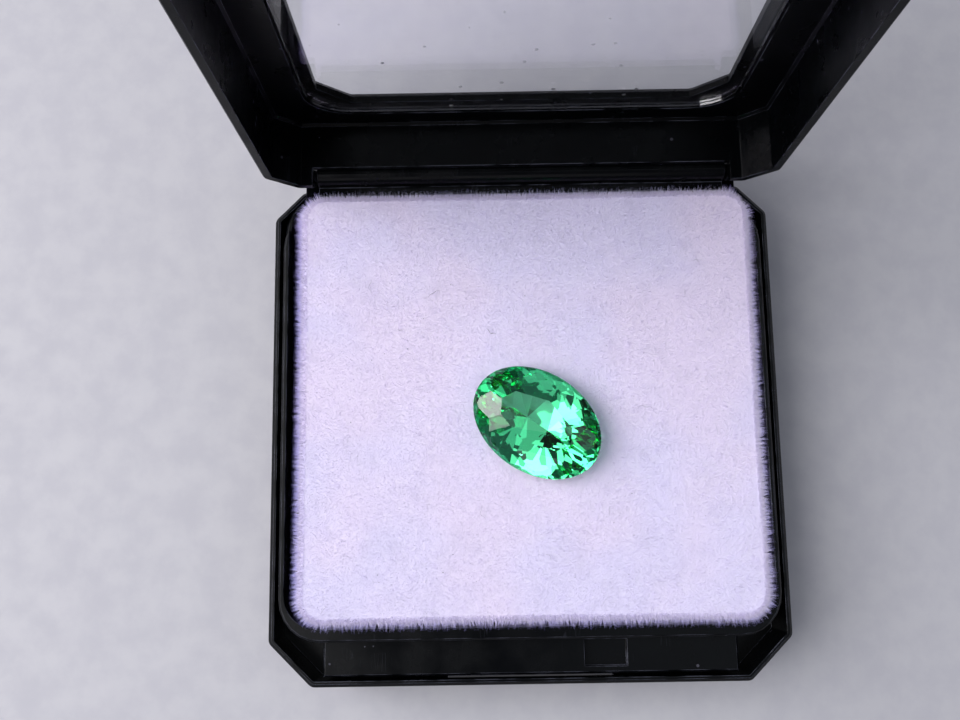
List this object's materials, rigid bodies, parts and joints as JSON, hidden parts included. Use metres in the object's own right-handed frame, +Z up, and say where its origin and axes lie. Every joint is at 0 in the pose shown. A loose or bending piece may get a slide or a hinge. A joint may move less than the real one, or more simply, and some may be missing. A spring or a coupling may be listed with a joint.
{
  "type": "faceted green gemstone in a hinged display box",
  "caption": "Oval faceted green stone on a white flocked pad in a shallow black tray, with a hinged lid that holds a clear window and shuts over the stone.",
  "frame": {"origin": "on the tray's flat underside, midway between its sides and 20 mm behind its front edge", "axes": "+Z up, +Y towards the hinge, +X to the right of someone facing the hinge; the lid stands open"},
  "size_m": [0.04, 0.0461, 0.0494],
  "materials": {
    "black_plastic": "moulded, satin gloss",
    "clear_plastic": "clear, lightly scratched and dusty",
    "white_flock": "short flock on foam",
    "green_crystal": "polished facets"
  },
  "bodies": {
    "box": {"base_tray": "black_plastic", "foam_pad": "white_flock", "tourmaline": "green_crystal"},
    "lid": {"lid_frame": "black_plastic", "lid_window": "clear_plastic"}
  },
  "joints": [
    {"name": "lid_hinge", "type": "hinge", "parent": "box", "child": "lid", "pos_m": [0, 0.01993, 0.0095], "axis": [1, 0, 0], "range_deg": [0, 91]}
  ]
}
